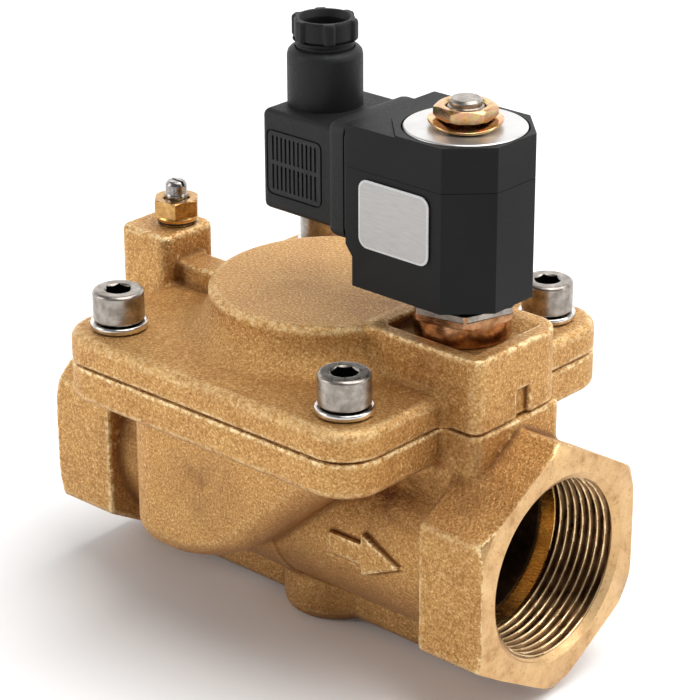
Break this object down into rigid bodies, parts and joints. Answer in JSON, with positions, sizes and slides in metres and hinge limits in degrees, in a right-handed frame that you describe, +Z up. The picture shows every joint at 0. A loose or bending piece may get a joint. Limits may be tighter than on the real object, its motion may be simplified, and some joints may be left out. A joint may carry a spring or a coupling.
{
  "type": "solenoid valve",
  "caption": "Pilot-operated diaphragm solenoid valve: cast brass body with threaded hexagon ports, square bolted cover, bleed screw, coil on an armature tube, and plug with cable gland.",
  "frame": {"origin": "on the surface the valve stands on, under the middle of the body and of its cover", "axes": "+X along the flow from inlet to outlet, +Z up along the armature tube, -Y the side with the coil's label"},
  "size_m": [0.147, 0.1, 0.1588],
  "materials": {
    "cast_brass": "rough sand-cast surface, blasted, golden tan",
    "turned_brass": "machined, bright",
    "stainless": "satin stainless steel",
    "polished_steel": "polished",
    "magnetic_steel": "plain turned steel",
    "spring_steel": "drawn wire",
    "silver_plate": "satin zinc plated, bright rim",
    "yellow_zinc": "yellow passivated zinc",
    "coil_plastic": "moulded black, fine matt texture",
    "plug_plastic": "moulded black, fine spark texture",
    "rubber": "plain black rubber",
    "copper": "enamelled copper",
    "label": "satin printed foil"
  },
  "bodies": {
    "valve": {"valve_body": "cast_brass", "valve_cover": "cast_brass", "cover_screw_1": "stainless", "cover_screw_2": "stainless", "cover_screw_3": "stainless", "cover_screw_4": "stainless", "split_washer_1": "polished_steel", "split_washer_2": "polished_steel", "split_washer_3": "polished_steel", "split_washer_4": "polished_steel", "diaphragm": "rubber", "main_spring": "spring_steel", "armature_tube": "stainless", "fixed_core": "stainless", "shading_ring": "copper", "plunger_spring": "spring_steel", "pilot_nozzle": "turned_brass", "tube_o_ring": "rubber", "coil_lower_seal": "rubber", "bleed_gasket": "rubber", "bleed_gland_nut": "turned_brass"},
    "main_closure": {"seat_seal": "rubber", "seal_holder": "turned_brass", "diaphragm_plate": "stainless", "diaphragm_bolt": "stainless", "diaphragm_nut": "stainless"},
    "plunger": {"plunger": "magnetic_steel", "plunger_seal": "rubber"},
    "bleed_seal": {"bleed_stem_o_ring": "rubber"},
    "bleed_screw": {"bleed_screw": "stainless"},
    "coil": {"coil_case": "coil_plastic", "coil_bottom_plate": "magnetic_steel", "coil_yoke": "magnetic_steel", "coil_bobbin": "plug_plastic", "coil_winding": "copper", "coil_top_plate": "silver_plate", "contact_pin_1": "polished_steel", "contact_pin_2": "polished_steel", "ground_pin": "polished_steel", "rating_label": "label", "connector_gasket": "rubber"},
    "plug": {"plug_housing": "plug_plastic", "terminal_block": "plug_plastic", "wire_clamp_1": "turned_brass", "wire_clamp_2": "turned_brass", "wire_clamp_3": "turned_brass", "plug_screw": "polished_steel", "gland_grommet": "rubber"},
    "gland_seal": {"gland_washer": "polished_steel"},
    "gland_nut": {"gland_nut": "plug_plastic"},
    "coil_washer": {"spring_washer": "yellow_zinc"},
    "coil_nut": {"coil_nut": "yellow_zinc"}
  },
  "joints": [
    {"name": "main_lift", "type": "slide", "parent": "valve", "child": "main_closure", "axis": [0, 0, 1], "range_m": [0, 0.0045], "stiffness_N_per_m": 1500, "springref_m": -0.008, "deforming": ["diaphragm", "main_spring"]},
    {"name": "plunger_lift", "type": "slide", "parent": "valve", "child": "plunger", "axis": [0, 0, 1], "range_m": [0, 0.002], "stiffness_N_per_m": 400, "springref_m": -0.008, "deforming": ["plunger_spring"]},
    {"name": "bleed_lift", "type": "slide", "parent": "valve", "child": "bleed_seal", "axis": [0, 0, 1], "range_m": [0, 0.002]},
    {"name": "bleed_turn", "type": "hinge", "parent": "bleed_seal", "child": "bleed_screw", "pos_m": [-0.0546, -0.001, 0.0932], "axis": [0, 0, 1], "range_deg": [0, 720]},
    {"name": "coil_swivel", "type": "hinge", "parent": "valve", "child": "coil", "pos_m": [0.042, 0, 0.1], "axis": [0, 0, 1], "continuous": true},
    {"name": "plug_pull", "type": "slide", "parent": "coil", "child": "plug", "axis": [-1, 0, 0], "range_m": [0, 0.018]},
    {"name": "gland_travel", "type": "slide", "parent": "plug", "child": "gland_seal", "axis": [0, 0, 1], "range_m": [-0.0015, 0], "deforming": ["gland_grommet"]},
    {"name": "gland_turn", "type": "hinge", "parent": "gland_seal", "child": "gland_nut", "pos_m": [-0.0024, 0, 0.1535], "axis": [0, 0, 1], "range_deg": [-360, 0]},
    {"name": "nut_lift", "type": "slide", "parent": "valve", "child": "coil_washer", "axis": [0, 0, 1], "range_m": [0, 0.001]},
    {"name": "nut_turn", "type": "hinge", "parent": "coil_washer", "child": "coil_nut", "pos_m": [0.042, 0, 0.1435], "axis": [0, 0, 1], "range_deg": [0, 360]}
  ],
  "couplings": [
    {"joint": "bleed_turn", "follows": "bleed_lift", "rad_per_m": 6283.2},
    {"joint": "gland_turn", "follows": "gland_travel", "rad_per_m": 4188.8},
    {"joint": "nut_turn", "follows": "nut_lift", "rad_per_m": 6283.2}
  ]
}
